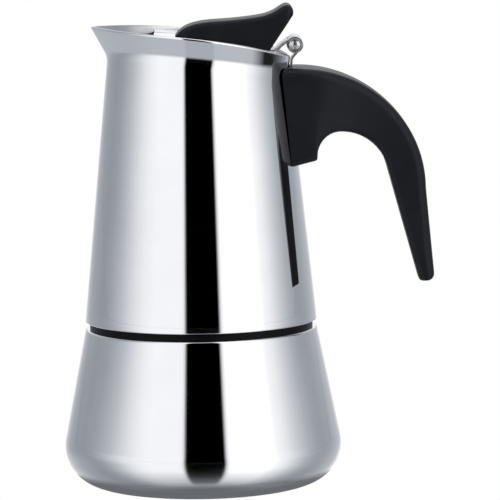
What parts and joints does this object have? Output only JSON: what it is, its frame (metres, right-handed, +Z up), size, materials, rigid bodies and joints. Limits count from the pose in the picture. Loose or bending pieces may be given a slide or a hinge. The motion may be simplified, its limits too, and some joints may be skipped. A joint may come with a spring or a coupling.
{
  "type": "moka pot",
  "caption": "Stovetop moka pot of polished steel: flared boiler, screw-on tapered jug with beak spout, hinged lid with thumb knob, black arched handle.",
  "frame": {"origin": "centre of the boiler's flat base, on the surface it stands on", "axes": "+Z up along the pot's axis, +X towards the handle, so the spout points to -X; +Y completes the right-handed frame"},
  "size_m": [0.1345, 0.1072, 0.1732],
  "materials": {
    "polished_steel": "mirror-polished stainless steel",
    "satin_steel": "drawn stainless steel, satin",
    "hinge_steel": "tumbled stainless strap",
    "screw_steel": "zinc-plated screw",
    "spring_steel": "drawn spring wire",
    "brass": "turned brass",
    "gasket_rubber": "moulded silicone rubber",
    "washer_rubber": "fibre-filled rubber",
    "handle_plastic": "moulded phenolic plastic, satin black"
  },
  "bodies": {
    "boiler": {"boiler_shell": "polished_steel", "boiler_neck_ring": "satin_steel", "valve_body": "brass", "valve_washer": "washer_rubber", "valve_nut": "brass", "valve_bush": "brass", "valve_spring": "spring_steel"},
    "valve": {"valve_poppet": "brass"},
    "funnel": {"funnel_basket": "satin_steel", "funnel_stem": "satin_steel", "funnel_sieve": "satin_steel"},
    "seal": {"gasket": "gasket_rubber", "filter_plate": "satin_steel"},
    "jug": {"jug_shell": "polished_steel", "jug_floor": "satin_steel", "jug_thread_ring": "satin_steel", "riser_tube": "satin_steel", "riser_cap": "satin_steel", "hinge_bracket": "hinge_steel", "hinge_pin": "hinge_steel", "handle_bracket": "hinge_steel", "handle": "handle_plastic", "handle_screw": "screw_steel"},
    "lid": {"lid_plate": "polished_steel", "lid_knob": "handle_plastic", "lid_leaf": "hinge_steel", "knob_screws": "screw_steel"}
  },
  "joints": [
    {"name": "funnel_lift", "type": "slide", "parent": "boiler", "child": "funnel", "axis": [0, 0, 1], "range_m": [0, 0.07]},
    {"name": "screw_rise", "type": "slide", "parent": "funnel", "child": "seal", "axis": [0, 0, 1], "range_m": [0, 0.00601]},
    {"name": "jug_turn", "type": "hinge", "parent": "seal", "child": "jug", "pos_m": [0, 0, 0.1], "axis": [0, 0, 1], "range_deg": [0, 720]},
    {"name": "lid_hinge", "type": "hinge", "parent": "jug", "child": "lid", "pos_m": [0.03525, 0, 0.1589], "axis": [0, 1, 0], "range_deg": [0, 115]},
    {"name": "valve_lift", "type": "slide", "parent": "boiler", "child": "valve", "axis": [0, 0.9805, 0.1964], "range_m": [0, 0.0015], "stiffness_N_per_m": 1600, "springref_m": -0.0025, "deforming": ["valve_spring"]}
  ],
  "couplings": [
    {"joint": "screw_rise", "follows": "jug_turn", "m_per_rad": 0.00047746}
  ]
}
